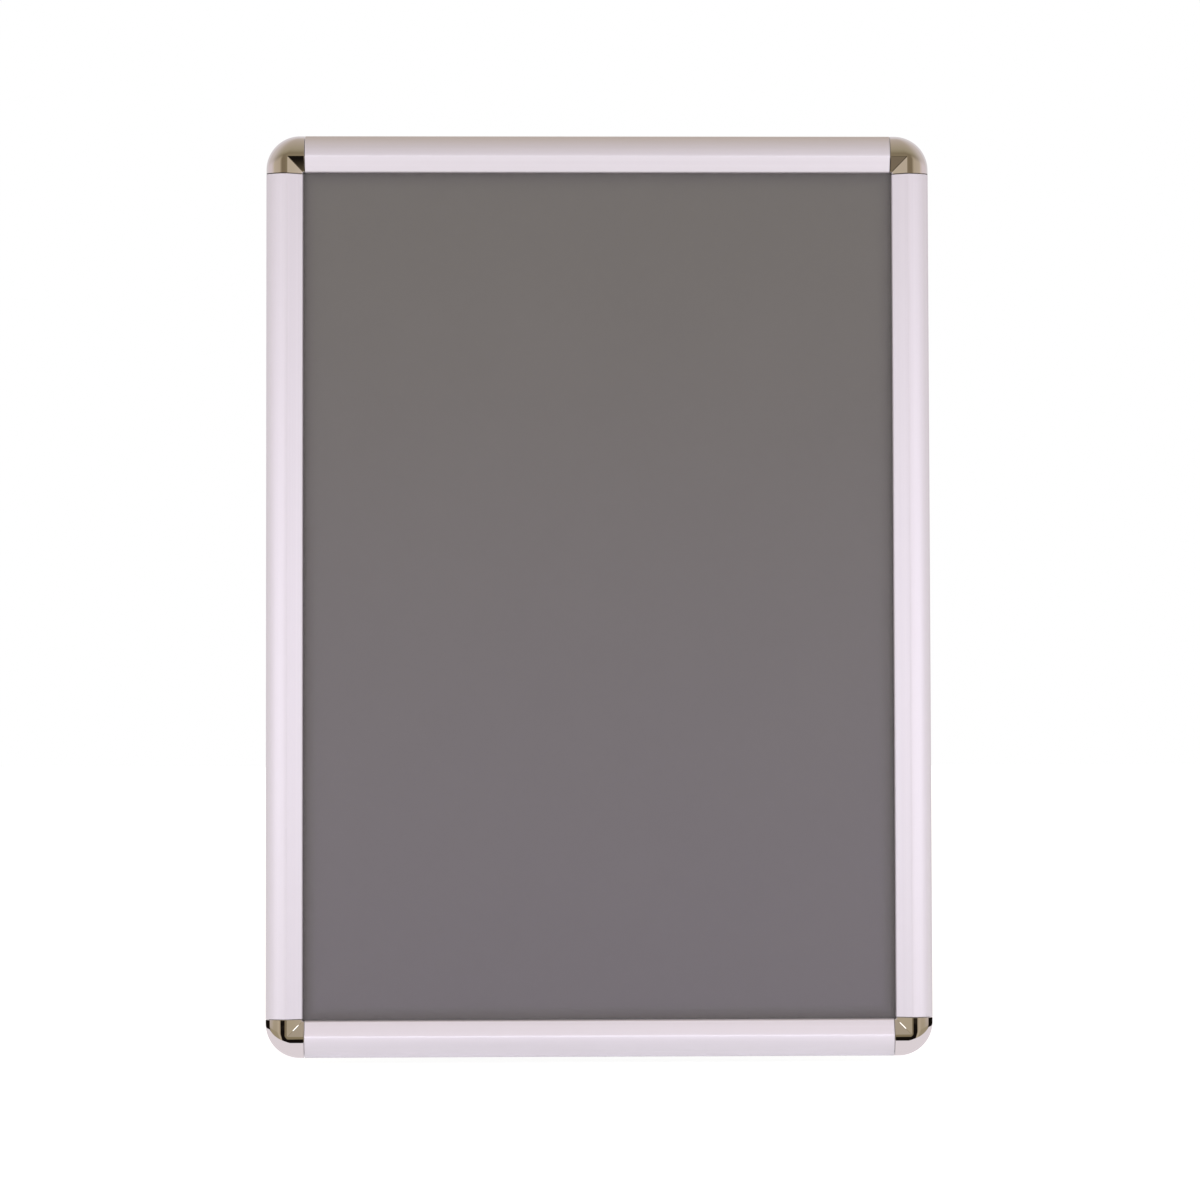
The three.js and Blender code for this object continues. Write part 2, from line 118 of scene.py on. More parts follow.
level = math.cos(CAMERA_ELEVATION)
back = Vector(
    (
        math.sin(CAMERA_AZIMUTH) * level,
        -math.cos(CAMERA_AZIMUTH) * level,
        math.sin(CAMERA_ELEVATION),
    )
)
right = Vector((math.cos(CAMERA_AZIMUTH), math.sin(CAMERA_AZIMUTH), 0))
roll = Matrix.Rotation(CAMERA_ROLL, 3, back)
right = roll @ right
up = back.cross(right)
half = PICTURE_SIDE / 2
aim = frame_middle
aim = aim + right * (half - MIDDLE_IN_PICTURE[0]) * metres_per_pixel
aim = aim - up * (half - MIDDLE_IN_PICTURE[1]) * metres_per_pixel

camera = bpy.data.objects.new("camera", bpy.data.cameras.new("camera"))
camera.data.lens = LENS
camera.data.sensor_width = SENSOR_WIDTH
camera.rotation_mode = "QUATERNION"
camera.location = aim + back * CAMERA_DISTANCE
camera.rotation_quaternion = Matrix((right, up, back)).transposed().to_quaternion()
bpy.context.scene.collection.objects.link(camera)
bpy.context.scene.camera = camera
print("camera at", [round(c, 3) for c in camera.location])

# %% [markdown]
# Small helpers for materials
#
# A material is a net of nodes. Building one takes the same three steps again and again:
# add a node, set its options, and fill its inputs with a value or with a link from another
# node. One helper does that. Colours are written as a screen shows them, from 0 to 255,
# and the second helper turns them into the linear values that the renderer works with.

# %% Helpers for materials
def add_node(tree, kind, inputs=None, **options):
    node = tree.nodes.new(kind)
    for name, value in options.items():
        setattr(node, name, value)
    for name, value in (inputs or {}).items():
        if isinstance(value, bpy.types.NodeSocket):
            tree.links.new(value, node.inputs[name])
        else:
            node.inputs[name].default_value = value
    return node


def linear(red, green, blue):
    def channel(value):
        value = value / 255
        return value / 12.92 if value <= 0.04045 else ((value + 0.055) / 1.055) ** 2.4

    return (channel(red), channel(green), channel(blue), 1)


def grey(value):
    return (value, value, value, 1)


def math_node(tree, operation, first, second=0.0):
    node = add_node(tree, "ShaderNodeMath", {0: first, 1: second}, operation=operation)
    return node.outputs[0]


def fade(tree, value, start, end):
    inputs = {"Value": value, "From Min": start, "From Max": end}
    node = add_node(tree, "ShaderNodeMapRange", inputs, interpolation_type="SMOOTHSTEP")
    return node.outputs["Result"]


def blend_colours(tree, factor, first, second):
    inputs = {"Factor": factor, 6: first, 7: second}
    return add_node(tree, "ShaderNodeMix", inputs, data_type="RGBA").outputs[2]


def ramp(tree, factor, stops):
    node = add_node(tree, "ShaderNodeValToRGB", {"Fac": factor})
    elements = node.color_ramp.elements
    while len(elements) < len(stops):
        elements.new(0.5)
    for element, (position, colour) in zip(elements, stops):
        element.position = position
        element.color = colour
    return node.outputs["Color"]


print("helpers ready")

# %% [markdown]
# The light of the studio
#
# Four things are asked of the world. The camera sees a plain white backdrop. Satin metal
# gets an even, soft fill: warmer and weaker from above, where the ceiling is, and stronger
# from straight ahead and from far to the sides. Matt surfaces get the same fill, but as a
# ring with a dim middle, because slanting light is what leaves a soft shade beside the
# rails. A mirror is different, because it shows what stands in the room. The caps in the
# photograph tell what that was. Straight ahead it is dark brown, to both sides it turns
# olive and then light grey, above it is warm grey, and below it is nearly black. All of
# this depends on the direction alone, so angles are measured first.

# %% Angles in the world
CHROME_SHARE = 0.62
WHITE = grey(1)


def mirrored(red, green, blue):
    seen = linear(red, green, blue)
    return tuple(value / CHROME_SHARE for value in seen[:3]) + (1,)


def turn(degrees):
    return degrees / 180


world = bpy.data.worlds.new("studio")
world.use_nodes = True
bpy.context.scene.world = world
tree = world.node_tree
tree.nodes.clear()
direction = add_node(tree, "ShaderNodeTexCoord").outputs["Generated"]
towards = add_node(tree, "ShaderNodeSeparateXYZ", {0: direction}).outputs
ahead = math_node(tree, "MULTIPLY", towards["Y"], -1)
sideways = math_node(tree, "ABSOLUTE", towards["X"])
side_turn = math_node(tree, "DIVIDE", math_node(tree, "ARCTAN2", sideways, ahead), math.pi)
height = math_node(tree, "DIVIDE", math_node(tree, "ARCSINE", towards["Z"]), math.pi)
depth = math_node(tree, "MULTIPLY", height, -1)
behind = fade(tree, towards["Y"], -0.1, 0.3)
print("angles run from 0 to 1 for half a turn")

# %% The fill light
FRONT_SHARE = 0.11
SIDE_SHARE = 0.26
RING_SHARE = 1.25
fill_light = ramp(
    tree,
    math_node(tree, "ADD", height, 0.5),
    [
        (turn(0), (0.60, 0.58, 0.62, 1)),
        (turn(45), (0.53, 0.505, 0.55, 1)),
        (turn(85), (0.68, 0.645, 0.69, 1)),
        (turn(112), (0.64, 0.595, 0.58, 1)),
        (turn(135), (0.59, 0.53, 0.45, 1)),
        (turn(155), (0.545, 0.47, 0.365, 1)),
        (turn(180), (0.51, 0.43, 0.325, 1)),
    ],
)
front_light = math_node(tree, "MULTIPLY", fade(tree, ahead, 0.75, 1.0), FRONT_SHARE)
side_light = math_node(tree, "MULTIPLY", fade(tree, sideways, 0.8, 1.0), SIDE_SHARE)
lift = {0: fill_light, 1: math_node(tree, "ADD", front_light, side_light)}
glossy_light = add_node(tree, "ShaderNodeVectorMath", lift, operation="ADD").outputs["Vector"]
ring = ramp(
    tree,
    ahead,
    [(0.1, grey(0.8)), (0.35, WHITE), (0.75, WHITE), (0.95, grey(0.25))],
)
ring = math_node(tree, "MULTIPLY", ring, RING_SHARE)
ring = {0: fill_light, 1: ring}
matt_light = add_node(tree, "ShaderNodeVectorMath", ring, operation="MULTIPLY").outputs["Vector"]
print("fill light ready")

# %% The room in the mirror
at_level = ramp(
    tree,
    side_turn,
    [
        (turn(4), mirrored(127, 115, 92)),
        (turn(10), mirrored(116, 102, 82)),
        (turn(18), mirrored(116, 102, 82)),
        (turn(24), mirrored(172, 158, 138)),
        (turn(34), mirrored(176, 162, 146)),
        (turn(44), mirrored(180, 167, 148)),
        (turn(50), mirrored(196, 182, 178)),
        (turn(62), mirrored(204, 192, 197)),
    ],
)
overhead = ramp(
    tree,
    height,
    [
        (turn(12), mirrored(126, 114, 96)),
        (turn(17), mirrored(120, 108, 88)),
        (turn(23), mirrored(140, 129, 108)),
        (turn(30), mirrored(151, 140, 121)),
        (turn(45), mirrored(161, 149, 134)),
        (turn(70), mirrored(172, 160, 151)),
        (turn(90), mirrored(186, 177, 172)),
    ],
)
aloft_aside = fade(tree, side_turn, turn(20), turn(80))
overhead = blend_colours(tree, aloft_aside, overhead, mirrored(190, 180, 178))
room = blend_colours(tree, fade(tree, height, turn(5), turn(22)), at_level, overhead)
room = blend_colours(tree, behind, room, mirrored(204, 198, 202))
olive_aside = fade(tree, side_turn, turn(24), turn(34))
shaded = blend_colours(tree, olive_aside, room, mirrored(149, 137, 115))
room = blend_colours(tree, fade(tree, depth, turn(1), turn(7)), room, shaded)
print("room above the horizon ready")

# %% The dark below the horizon
DARK_FROM = [(0, 9), (6, 9), (9, 2.5), (20, 2.5), (26, 30), (63, 30), (68, 1.5), (180, 1.5)]
dark_from = ramp(tree, side_turn, [(turn(aside), grey(turn(down))) for aside, down in DARK_FROM])
past_edge = math_node(tree, "SUBTRACT", depth, dark_from)
on_right = fade(tree, towards["X"], -0.03, 0.03)
far_floor = blend_colours(tree, on_right, mirrored(22, 18, 15), mirrored(112, 100, 84))
dark = blend_colours(tree, fade(tree, depth, turn(22), turn(32)), mirrored(18, 14, 11), far_floor)
floor_light = fade(tree, depth, turn(37), turn(46))
dark = blend_colours(tree, floor_light, dark, mirrored(116, 104, 82))
room = blend_colours(tree, fade(tree, past_edge, turn(0.5), turn(2)), room, dark)
print("the dark starts", DARK_FROM[0][1], "degrees down straight ahead")

# %% One world for all rays
ray = add_node(tree, "ShaderNodeLightPath").outputs
light = blend_colours(tree, ray["Is Diffuse Ray"], glossy_light, matt_light)
light = blend_colours(tree, ray["Is Singular Ray"], light, room)
plain = math_node(tree, "ADD", ray["Is Camera Ray"], ray["Is Transmission Ray"])
light = blend_colours(tree, plain, light, WHITE)
background = add_node(tree, "ShaderNodeBackground", {"Color": light, "Strength": 1.0})
add_node(tree, "ShaderNodeOutputWorld", {"Surface": background.outputs[0]})
print("world nodes:", len(tree.nodes))

# %% [markdown]
# The floor
#
# The frame hangs just above a plain white floor that runs into the white backdrop. The
# gap leaves room for the bottom rail, which dips below the frame when it opens. For the
# camera, and for soft reflections, the floor adds some light of its own to the light
# that falls on it, so that it is white where nothing shades it and still takes the frame's
# shadow. A mirror shows only the board right under the frame, because the photographed
# caps show a white edge there and darkness further out.

# %% The floor
OPEN_RAIL_DIP = 4.6 * MM
FLOOR_GAP = OPEN_RAIL_DIP + 0.6 * MM
FLOOR_SIZE = 60
BOARD_FRONT = 52 * MM
BOARD_HALF_WIDTH = 370 * MM
BOARD_EDGE = 4 * MM
BOARD_COLOUR = mirrored(214, 206, 213)
FLOOR_COLOUR = grey(0.8)
FLOOR_GLOW = 0.7
SOFT_GLOW = 0.4
GLOW_COLOUR = (0.92, 0.965, 1, 1)

tools = bmesh.new()
bmesh.ops.create_grid(tools, x_segments=1, y_segments=1, size=FLOOR_SIZE / 2)
bmesh.ops.translate(tools, verts=tools.verts, vec=(0, 0, working_low.z - FLOOR_GAP))
floor = bpy.data.objects.new("floor", bpy.data.meshes.new("floor"))
tools.to_mesh(floor.data)
tools.free()
bpy.context.scene.collection.objects.link(floor)

floor_paint = bpy.data.materials.new("floor_paint")
floor_paint.use_nodes = True
tree = floor_paint.node_tree
tree.nodes.clear()
place = add_node(tree, "ShaderNodeTexCoord").outputs["Object"]
place = add_node(tree, "ShaderNodeSeparateXYZ", {0: place}).outputs
ray = add_node(tree, "ShaderNodeLightPath").outputs
matt = add_node(tree, "ShaderNodeBsdfDiffuse", {"Color": FLOOR_COLOUR})
glow = math_node(tree, "MULTIPLY", ray["Is Camera Ray"], FLOOR_GLOW)
soft_glow = math_node(tree, "MULTIPLY", ray["Is Glossy Ray"], SOFT_GLOW)
glow = math_node(tree, "ADD", glow, soft_glow)
glow = add_node(tree, "ShaderNodeEmission", {"Color": GLOW_COLOUR, "Strength": glow})
lit = add_node(tree, "ShaderNodeAddShader", {0: matt.outputs[0], 1: glow.outputs[0]})
front = fade(tree, place["Y"], -BOARD_FRONT - BOARD_EDGE, -BOARD_FRONT)
outwards = math_node(tree, "ABSOLUTE", place["X"])
within = fade(tree, outwards, BOARD_HALF_WIDTH, BOARD_HALF_WIDTH - BOARD_EDGE)
on_board = math_node(tree, "MULTIPLY", front, within)
board = add_node(tree, "ShaderNodeEmission", {"Color": BOARD_COLOUR, "Strength": 1.0})
see_through = add_node(tree, "ShaderNodeBsdfTransparent")
mirror_image = {0: on_board, 1: see_through.outputs[0], 2: board.outputs[0]}
mirror_image = add_node(tree, "ShaderNodeMixShader", mirror_image)
mixed = {0: ray["Is Singular Ray"], 1: lit.outputs[0], 2: mirror_image.outputs[0]}
surface = add_node(tree, "ShaderNodeMixShader", mixed)
add_node(tree, "ShaderNodeOutputMaterial", {"Surface": surface.outputs[0]})
floor.data.materials.append(floor_paint)
print("floor at", round(working_low.z - FLOOR_GAP, 4))

# %% [markdown]
# The lamps
#
# Two soft boxes stand in front of the frame, one on each side and a little low, so the
# frame is brightest in its lower half, as in the photograph. A third one hangs higher up in
# the middle. It lights the bottom rail alone, whose facet looks upwards. Their light is a
# little lilac, and the camera doesn't see them. It is kept off the chromed caps, which
# would mirror them as white rectangles that the photograph doesn't show; a later step says
# how.

# %% The lamps
LAMP_DISTANCE = 1.3
SIDE_BOX_SIZE = (0.8, 0.95)
UPPER_BOX_SIZE = (1.1, 0.4)
LAMP_COLOUR = (0.985, 0.96, 1.08)


def soft_box(name, azimuth, elevation, watts, size):
    lamp = bpy.data.lights.new(name, "AREA")
    lamp.shape = "RECTANGLE"
    lamp.size, lamp.size_y = size
    lamp.energy = watts
    lamp.color = LAMP_COLOUR
    holder = bpy.data.objects.new(name, lamp)
    across = math.radians(azimuth)
    rise = math.radians(elevation)
    level = math.cos(rise)
    out = Vector((math.sin(across) * level, -math.cos(across) * level, math.sin(rise)))
    holder.location = frame_middle + out * LAMP_DISTANCE
    holder.rotation_euler = out.to_track_quat("Z", "Y").to_euler()
    holder.visible_camera = False
    bpy.context.scene.collection.objects.link(holder)
    return holder


lamps = [
    soft_box("left_soft_box", -33, -9, 3.3, SIDE_BOX_SIZE),
    soft_box("right_soft_box", 33, -9, 3.6, SIDE_BOX_SIZE),
]
upper_box = soft_box("upper_soft_box", 0, 13, 2.6, UPPER_BOX_SIZE)
print("lamps:", [lamp.name for lamp in lamps], "and", upper_box.name)

# %% [markdown]
# The sizes of the section
#
# All rails and caps share one face: a straight skirt, an arched outer half, a crest, a
# facet that slopes inwards, and a round nose that ends in a lip over the poster. In the
# section, u is the distance in from the frame's outer edge and w is the height above the
# wall. With these few sizes the whole face is settled, because the facet is the straight
# line from the crest that touches the nose's arc. The crest is rounder on the drawn rails
# than on the cast caps, where it shows as a crisp line.

# %% Sizes of the section
RAIL_WIDTH = 25 * MM
FRAME_DEPTH = 12 * MM
RAIL_WALL = 1.3 * MM
CAP_WALL = 1.4 * MM
SKIRT_FOOT_W = 2.2 * MM
CAP_FOOT_W = 0.4 * MM
SHOULDER_W = 5 * MM
CREST_U = 14.5 * MM
RAIL_CREST_RADIUS = 4 * MM
CAP_CREST_RADIUS = 1.2 * MM
NOSE_RADIUS = 1.8 * MM
NOSE_CENTRE = Vector((RAIL_WIDTH - NOSE_RADIUS, 6.18 * MM))
LIP_FOOT_W = 4.7 * MM


def facet_fall(inset):
    crest = Vector((CREST_U, FRAME_DEPTH - inset))
    reach = NOSE_CENTRE - crest
    return math.atan2(-reach.y, reach.x) - math.asin((NOSE_RADIUS - inset) / reach.length)


print("the facet falls", round(math.degrees(facet_fall(0)), 2), "degrees")

# %% [markdown]
# Drawing an outline with a pen
#
# An extruded rail is one closed outline, drawn out. We could type its points, but nobody
# could read them. A pen is clearer: a straight stretch extrudes the last point, and a
# round one spins it about its centre. The arch is a quarter of an ellipse, so the pen
# takes small straight steps along its formula. Closing the outline fills it with one face.

# %% The pen
SAME_POINT = 0.001 * MM


class Pen:
    def __init__(self, u, w):
        self.mesh = bmesh.new()
        self.tip = self.mesh.verts.new((0, -w, u))

    def line(self, u, w):
        drawn = bmesh.ops.extrude_vert_indiv(self.mesh, verts=[self.tip])
        self.tip = drawn["verts"][0]
        self.tip.co = (0, -w, u)

    def arc(self, centre, degrees, steps):
        drawn = bmesh.ops.spin(
            self.mesh,
            geom=[self.tip],
            cent=(0, -centre.y, centre.x),
            axis=(1, 0, 0),
            angle=-math.radians(degrees),
            steps=steps,
        )
        self.tip = [item for item in drawn["geom_last"] if isinstance(item, bmesh.types.BMVert)][0]

    def ellipse(self, centre, reach_u, reach_w, start, end, steps):
        for step in range(1, steps + 1):
            angle = start + (end - start) * step / steps
            self.line(centre.x + reach_u * math.cos(angle), centre.y + reach_w * math.sin(angle))

    def close(self):
        bmesh.ops.remove_doubles(self.mesh, verts=self.mesh.verts, dist=SAME_POINT)
        self.mesh.verts.ensure_lookup_table()
        loose = [vert for vert in self.mesh.verts if len(vert.link_edges) == 1]
        if loose:
            bmesh.ops.contextual_create(self.mesh, geom=loose)
        bmesh.ops.edgeloop_fill(self.mesh, edges=self.mesh.edges)
        return self.mesh


print("pen ready")

# %% [markdown]
# The face's two sides
#
# The outer side is what everyone sees, so its round stretches have many steps, and the
# crest is a small arc that catches the light. The inner side runs back one wall's
# thickness further in and may be coarser. Both end where the next stroke takes over, so
# that a rail can add its hinge bead and rib, and a cap can do without.

# %% The face's two sides
ARCH_STEPS = 40
CREST_STEPS = 6
NOSE_STEPS = 14
INNER_STEPS = 16
SHOULDER = Vector((CREST_U, SHOULDER_W))


def draw_outer_side(pen, crest_radius):
    pen.line(0, SHOULDER_W)
    fall = facet_fall(0)
    rounding = crest_radius * math.tan(fall / 2)
    reach_w = FRAME_DEPTH - SHOULDER_W
    crest_start = math.pi - math.acos(rounding / CREST_U)
    pen.ellipse(SHOULDER, CREST_U, reach_w, math.pi, crest_start, ARCH_STEPS)
    crest_centre = Vector((CREST_U - rounding, FRAME_DEPTH - crest_radius))
    pen.arc(crest_centre, math.degrees(fall), CREST_STEPS)
    nose_start = math.pi / 2 - fall
    out = Vector((math.cos(nose_start), math.sin(nose_start))) * NOSE_RADIUS
    pen.line(NOSE_CENTRE.x + out.x, NOSE_CENTRE.y + out.y)
    pen.arc(NOSE_CENTRE, math.degrees(nose_start), NOSE_STEPS)
    pen.line(RAIL_WIDTH, LIP_FOOT_W)


def arch_angle(u, inset):
    return math.pi - math.acos((CREST_U - u) / (CREST_U - inset))


def draw_inner_nose(pen, wall):
    pen.line(RAIL_WIDTH - wall, LIP_FOOT_W)
    pen.line(RAIL_WIDTH - wall, NOSE_CENTRE.y)
    nose_end = math.pi / 2 - facet_fall(wall)
    pen.arc(NOSE_CENTRE, -math.degrees(nose_end), NOSE_STEPS // 2)
    pen.line(CREST_U, FRAME_DEPTH - wall)


def draw_inner_arch(pen, wall, from_u, to_u, steps):
    reach_w = FRAME_DEPTH - wall - SHOULDER_W
    start = arch_angle(from_u, wall)
    end = arch_angle(to_u, wall)
    pen.ellipse(SHOULDER, CREST_U - wall, reach_w, start, end, steps)


print("arch in", ARCH_STEPS, "steps, nose in", NOSE_STEPS)

# %% [markdown]
# Finishing a piece
#
# Every piece ends the same way. Its normals are set to point outwards, its sharp edges are
# eased a little, because no real edge is perfectly sharp and the small round catches the
# light, and the rest is shaded smooth. Then it becomes an object that rides on its part's
# body, names its finish and stands for the plain part.

# %% Finishing a piece
SHARP_ANGLE = math.radians(20)
EASE_SEGMENTS = 2


def ease_edges(mesh, width, wanted=None):
    sharp = [
        edge
        for edge in mesh.edges
        if len(edge.link_faces) == 2 and edge.calc_face_angle(0) > SHARP_ANGLE
    ]
    if wanted:
        sharp = [edge for edge in sharp if wanted(edge)]
    bmesh.ops.bevel(
        mesh,
        geom=sharp,
        offset=width,
        offset_type="OFFSET",
        affect="EDGES",
        segments=EASE_SEGMENTS,
        profile=0.5,
        material=-1,
        clamp_overlap=True,
    )


def make_piece(mesh, name, node, finish):
    bmesh.ops.recalc_face_normals(mesh, faces=mesh.faces)
    data = bpy.data.meshes.new(name)
    mesh.to_mesh(data)
    mesh.free()
    data.shade_smooth()
    data.set_sharp_from_angle(angle=SHARP_ANGLE)
    data.materials.append(finish)
    piece = bpy.data.objects.new(name, data)
    bpy.context.scene.collection.objects.link(piece)
    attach(piece, body_of(frame["nodes"][node])[0])
    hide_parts(node)
    return piece


# %% [markdown]
# The satin aluminium
#
# Anodised satin aluminium is a bright metal whose surface is etched, so its reflections
# are broad and soft. What tells it from grey paint are the lines that the extrusion die
# leaves along the rail. Noise makes them: it changes fast across the rail and hardly at
# all along it. The lines tilt the surface a little and change its gloss a little.

# %% Satin aluminium
NOISE_RANGE = (0.3, 0.7)
SLOW = 2
SATIN_DARK = (0.80, 0.768, 0.83, 1)
SATIN_LIGHT = (0.85, 0.818, 0.88, 1)


def start_material(name):
    material = bpy.data.materials.new(name)
    material.use_nodes = True
    tree = material.node_tree
    tree.nodes.clear()
    shader = add_node(tree, "ShaderNodeBsdfPrincipled")
    add_node(tree, "ShaderNodeOutputMaterial", {"Surface": shader.outputs[0]})
    place = add_node(tree, "ShaderNodeTexCoord").outputs["Object"]
    return material, tree, shader, place


def noise(tree, place, scale, detail):
    mapping = add_node(tree, "ShaderNodeMapping", {"Vector": place, "Scale": scale})
    inputs = {"Vector": mapping.outputs[0], "Scale": 1.0, "Detail": detail}
    return add_node(tree, "ShaderNodeTexNoise", inputs).outputs["Fac"]


def spread(tree, value, low, high):
    least, most = NOISE_RANGE
    inputs = {"Value": value, "From Min": least, "From Max": most, "To Min": low, "To Max": high}
    return add_node(tree, "ShaderNodeMapRange", inputs).outputs["Result"]


def bump(tree, height, distance, strength, normal=None):
    inputs = {"Height": height, "Distance": distance, "Strength": strength}
    if normal:
        inputs["Normal"] = normal
    return add_node(tree, "ShaderNodeBump", inputs).outputs["Normal"]


def fill(tree, shader, values):
    for name, value in values.items():
        if isinstance(value, bpy.types.NodeSocket):
            tree.links.new(value, shader.inputs[name])
        else:
            shader.inputs[name].default_value = value


def line_scale(along, fineness):
    return (SLOW, fineness, fineness) if along == "X" else (fineness, fineness, SLOW)


def satin_aluminium(along):
    material, tree, shader, place = start_material(f"satin_aluminium_{along.lower()}")
    lines = noise(tree, place, line_scale(along, 2600), detail=3)
    bands = noise(tree, place, line_scale(along, 420), detail=2)
    etch = noise(tree, place, (9000,) * 3, detail=1)
    etched = bump(tree, etch, 0.002 * MM, 0.4)
    fill(
        tree,
        shader,
        {
            "Base Color": blend_colours(tree, bands, SATIN_DARK, SATIN_LIGHT),
            "Metallic": 0.8,
            "Roughness": spread(tree, lines, 0.48, 0.56),
            "Normal": bump(tree, lines, 0.004 * MM, 0.6, etched),
        },
    )
    return material


satin = {"X": satin_aluminium("X"), "Z": satin_aluminium("Z")}
print("made", [material.name for material in satin.values()])

# %% [markdown]
# The front rails
#
# Behind the face hangs what makes the rail work: a round bead on a short stem, which turns
# in the base rail's socket, and a rib with a groove for the springs' upper edge. All of it
# is one extrusion, so the pen draws it in one closed outline. Where stem and rib meet the
# skin is worked out from their sizes. The outline is then drawn out to the rail's length,
# which we measure on the working model.

# %% Sizes of hinge and rib
PIVOT = Vector((3.1, 4.3)) * MM
BEAD_RADIUS = 1 * MM
BEAD_STEPS = 28
STEM_HALF = 0.4 * MM
STEM_ANGLE = math.radians(190)
RIB_SEAT = Vector((12.6, 7.4)) * MM
RIB_SEAT_RADIUS = 0.7 * MM
RIB_WALL = 0.8 * MM
RIB_SEAT_FROM = math.radians(130)
RIB_SEAT_TO = math.radians(-60)
RIB_LIP_ANGLE = math.radians(-45)
RIB_BACK_U = RIB_SEAT.x + RIB_SEAT_RADIUS + RIB_WALL


def around(centre, radius, angle):
    return centre + Vector((math.cos(angle), math.sin(angle))) * radius


def arch_height(u, inset):
    angle = arch_angle(u, inset)
    return SHOULDER_W + (FRAME_DEPTH - inset - SHOULDER_W) * math.sin(angle)


print("the bead turns about", [round(value / MM, 2) for value in PIVOT])

# %% The rail's outline
def draw_rib(pen):
    toe = around(RIB_SEAT, RIB_SEAT_RADIUS + RIB_WALL / 2, RIB_LIP_ANGLE)
    groove = around(RIB_SEAT, RIB_SEAT_RADIUS, RIB_SEAT_TO)
    groove_end = around(RIB_SEAT, RIB_SEAT_RADIUS, RIB_SEAT_FROM)
    pen.line(RIB_BACK_U, toe.y)
    pen.line(toe.x, toe.y)
    pen.line(groove.x, groove.y)
    pen.arc(RIB_SEAT, math.degrees(RIB_SEAT_TO - RIB_SEAT_FROM), INNER_STEPS)
    pen.line(groove_end.x, arch_height(groove_end.x, RAIL_WALL))


def draw_bead(pen):
    out = Vector((math.cos(STEM_ANGLE), math.sin(STEM_ANGLE)))
    side = Vector((-out.y, out.x)) * STEM_HALF
    neck = math.asin(STEM_HALF / BEAD_RADIUS)
    near_root, far_root = [
        start + out * ((RAIL_WALL - start.x) / out.x) for start in (PIVOT - side, PIVOT + side)
    ]
    bead_point = PIVOT - side + out * BEAD_RADIUS * math.cos(neck)
    pen.line(near_root.x, near_root.y)
    pen.line(bead_point.x, bead_point.y)
    pen.arc(PIVOT, 360 - 2 * math.degrees(neck), BEAD_STEPS)
    pen.line(far_root.x, far_root.y)


def rail_outline():
    pen = Pen(0, SKIRT_FOOT_W)
    draw_outer_side(pen, RAIL_CREST_RADIUS)
    draw_inner_nose(pen, RAIL_WALL)
    draw_inner_arch(pen, RAIL_WALL, CREST_U, RIB_BACK_U, 1)
    draw_rib(pen)
    groove_end = around(RIB_SEAT, RIB_SEAT_RADIUS, RIB_SEAT_FROM)
    draw_inner_arch(pen, RAIL_WALL, groove_end.x, RAIL_WALL, INNER_STEPS)
    draw_bead(pen)
    pen.line(RAIL_WALL, SKIRT_FOOT_W)
    return pen.close()


outline = rail_outline()
print("outline points:", len(outline.verts), "faces:", len(outline.faces))
outline.free()

# %% [markdown]
# From one rail to four
#
# Each side is built lying down at the bottom and then turned about the depth axis to its
# place: a quarter turn for the left side, half a turn for the top. The turned rail is
# moved to the frame's edge, so its object can stay at the origin, unturned.

# %% The four front rails
QUARTER = math.pi / 2
END_EASE = 0.18 * MM
SIDES = {
    "bottom": (Vector((0, 0, working_low.z)), 0, "X"),
    "left": (Vector((working_low.x, 0, frame_middle.z)), QUARTER, "Z"),
    "top": (Vector((0, 0, working_high.z)), 2 * QUARTER, "X"),
    "right": (Vector((working_high.x, 0, frame_middle.z)), -QUARTER, "Z"),
}


def draw_out(mesh, length):
    bmesh.ops.translate(mesh, verts=mesh.verts, vec=(-length / 2, 0, 0))
    drawn = bmesh.ops.extrude_face_region(mesh, geom=mesh.faces[:])
    moved = [item for item in drawn["geom"] if isinstance(item, bmesh.types.BMVert)]
    bmesh.ops.translate(mesh, verts=moved, vec=(length, 0, 0))
    bmesh.ops.recalc_face_normals(mesh, faces=mesh.faces)


def put_in_place(mesh, corner, angle):
    spot = Matrix.Translation(corner) @ Matrix.Rotation(angle, 4, "Y")
    bmesh.ops.transform(mesh, matrix=spot, verts=mesh.verts)


for side, (corner, angle, along) in SIDES.items():
    node = f"front_rail_{side}"
    low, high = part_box(node)
    length = max(high.x - low.x, high.z - low.z)
    mesh = rail_outline()
    draw_out(mesh, length)
    ease_edges(mesh, END_EASE)
    put_in_place(mesh, corner, angle)
    rail = make_piece(mesh, f"{side}_front_rail", node, satin[along])
    print(rail.name, "length", round(length / MM, 1), "faces", len(rail.data.polygons))

# %% [markdown]
# Chrome
#
# Chrome plate is a mirror with a faint warm tint. On a small cast cap it is never quite
# even: long soft waves bend the picture in it. They are far too slight to be seen by
# themselves, and without them it looks like glass.

# %% Chrome
CHROME_COLOUR = (0.64, 0.625, 0.60, 1)


def chrome_plate():
    material, tree, shader, place = start_material("chrome_plate")
    waves = noise(tree, place, (130,) * 3, detail=1)
    fill(
        tree,
        shader,
        {
            "Base Color": CHROME_COLOUR,
            "Metallic": 1.0,
            "Roughness": 0.0,
            "Normal": bump(tree, waves, 0.03 * MM, 0.5),
        },
    )
    return material


chrome = chrome_plate()
print("made", chrome.name)

# %% [markdown]
# The corner caps
#
# A cap has the rail's face, led round the corner. The arch goes round in a wide bow, and
# the facets meet in a mitre, like a picture frame's. One rule does both: the bow's radius
# shrinks steadily from the outer edge to the crest and stays tiny from there on. So we
# draw the cap's outline, draw it out as a straight bar, cut the bar across many times, and
# bend it by that rule. Inside, a round boss takes the screw that holds the cap on its key.

